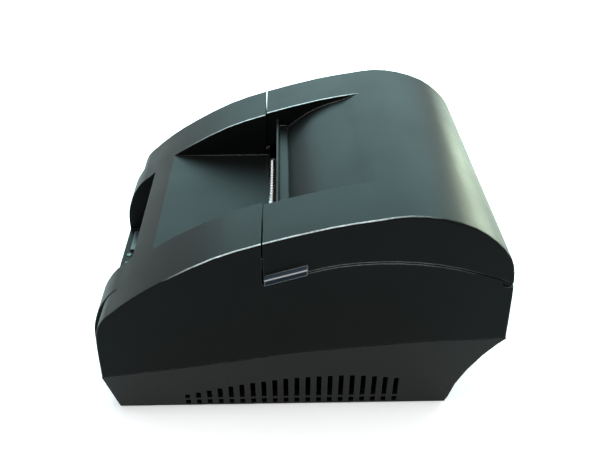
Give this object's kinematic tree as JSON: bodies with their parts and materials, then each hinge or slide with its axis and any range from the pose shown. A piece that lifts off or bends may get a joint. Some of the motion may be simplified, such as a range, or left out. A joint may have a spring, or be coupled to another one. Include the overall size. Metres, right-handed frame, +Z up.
{
  "type": "portable receipt printer",
  "caption": "Small black thermal receipt printer with a rear-hinged lid over the roll bay, a paper exit channel, feed button and lamps at the front, and sockets at the rear.",
  "frame": {"origin": "On the table, under the middle of the printer's outer box.", "axes": "+X to the printer's right as seen from behind its front, -Y out of its front where the paper comes out, +Z up."},
  "size_m": [0.12, 0.1396, 0.0822],
  "materials": {
    "case_black": "satin black ABS, finely textured",
    "pan_black": "charcoal ABS, finely textured",
    "dark_plastic": "plain black moulding",
    "grey_plastic": "dark blue-grey moulding",
    "white_plastic": "natural acetal gear plastic",
    "amber_plastic": "oil-filled bearing plastic",
    "rubber": "matt black rubber",
    "board_green": "green solder mask",
    "bright_steel": "bright steel",
    "dull_steel": "zinc-plated sheet steel",
    "aluminium": "bare die-cast or extruded aluminium",
    "ceramic": "glazed ceramic strip",
    "lamp_green": "green lamp lens",
    "lamp_red": "red lamp lens",
    "ribbon_brown": "amber film cable"
  },
  "bodies": {
    "root": {"base_pan": "pan_black", "upper_case": "case_black", "paper_tray": "dark_plastic", "paper_sensor": "dark_plastic", "power_capacitor": "dark_plastic", "power_jack": "dark_plastic", "drawer_socket": "dark_plastic", "power_switch": "dark_plastic", "foot_front_left": "rubber", "foot_front_right": "rubber", "foot_rear_left": "rubber", "foot_rear_right": "rubber", "main_board": "board_green", "button_board": "board_green", "head_pivot_shaft": "bright_steel", "head_spring_left": "bright_steel", "head_spring_right": "bright_steel", "tear_blade": "bright_steel", "idler_post": "bright_steel", "usb_socket": "bright_steel", "hinge_pin_left": "bright_steel", "hinge_pin_right": "bright_steel", "mechanism_frame": "dull_steel", "stepper_motor": "dull_steel", "feed_switch": "dull_steel", "case_screw_1": "dull_steel", "case_screw_2": "dull_steel", "case_screw_3": "dull_steel", "case_screw_4": "dull_steel", "mechanism_screw_1": "dull_steel", "mechanism_screw_2": "dull_steel", "mechanism_screw_3": "dull_steel", "mechanism_screw_4": "dull_steel", "board_screw_1": "dull_steel", "board_screw_2": "dull_steel", "board_screw_3": "dull_steel", "board_screw_4": "dull_steel", "tray_screw_left": "dull_steel", "tray_screw_right": "dull_steel", "button_board_screw_left": "dull_steel", "button_board_screw_right": "dull_steel", "head_ribbon": "ribbon_brown", "power_led_lens": "lamp_green", "error_led_lens": "lamp_red"},
    "lid": {"lid": "case_black", "platen_bracket": "dull_steel", "platen_bush_left": "amber_plastic", "platen_bush_right": "amber_plastic", "bracket_screw_left": "dull_steel", "bracket_screw_right": "dull_steel"},
    "platen": {"platen_shaft": "bright_steel", "platen_roller": "rubber", "platen_gear": "white_plastic"},
    "idler": {"idler_gear": "white_plastic"},
    "pinion": {"motor_pinion": "bright_steel"},
    "head": {"thermal_head": "ceramic", "head_heatsink": "aluminium"},
    "button": {"feed_button": "grey_plastic"},
    "rocker": {"power_rocker": "dark_plastic"}
  },
  "joints": [
    {"name": "lid_hinge", "type": "hinge", "parent": "root", "child": "lid", "pos_m": [0, 0.06755, 0.05721], "axis": [-1, 0, 0], "range_deg": [0, 90]},
    {"name": "platen_spin", "type": "hinge", "parent": "lid", "child": "platen", "pos_m": [0, -0.00165, 0.04699], "axis": [1, 0, 0], "continuous": true},
    {"name": "idler_spin", "type": "hinge", "parent": "root", "child": "idler", "pos_m": [0.041, -0.00507, 0.03759], "axis": [1, 0, 0], "continuous": true},
    {"name": "motor_spin", "type": "hinge", "parent": "root", "child": "pinion", "pos_m": [0.037, -0.01893, 0.03565], "axis": [1, 0, 0], "continuous": true},
    {"name": "head_pivot", "type": "hinge", "parent": "root", "child": "head", "pos_m": [0, -0.00665, 0.03179], "axis": [1, 0, 0], "range_deg": [0, 3], "stiffness_Nm_per_rad": 0.2, "springref_deg": -8.59, "deforming": ["head_spring_left", "head_spring_right"]},
    {"name": "feed_press", "type": "slide", "parent": "root", "child": "button", "axis": [0, 0, -1], "range_m": [0, 0.0006], "stiffness_N_per_m": 300, "springref_m": -0.003},
    {"name": "rocker_tilt", "type": "hinge", "parent": "root", "child": "rocker", "pos_m": [0.033, 0.04475, 0.014], "axis": [1, 0, 0], "range_deg": [0, 24]}
  ],
  "couplings": [
    {"joint": "idler_spin", "follows": "platen_spin", "ratio": -1.5},
    {"joint": "motor_spin", "follows": "platen_spin", "ratio": 4.5}
  ]
}
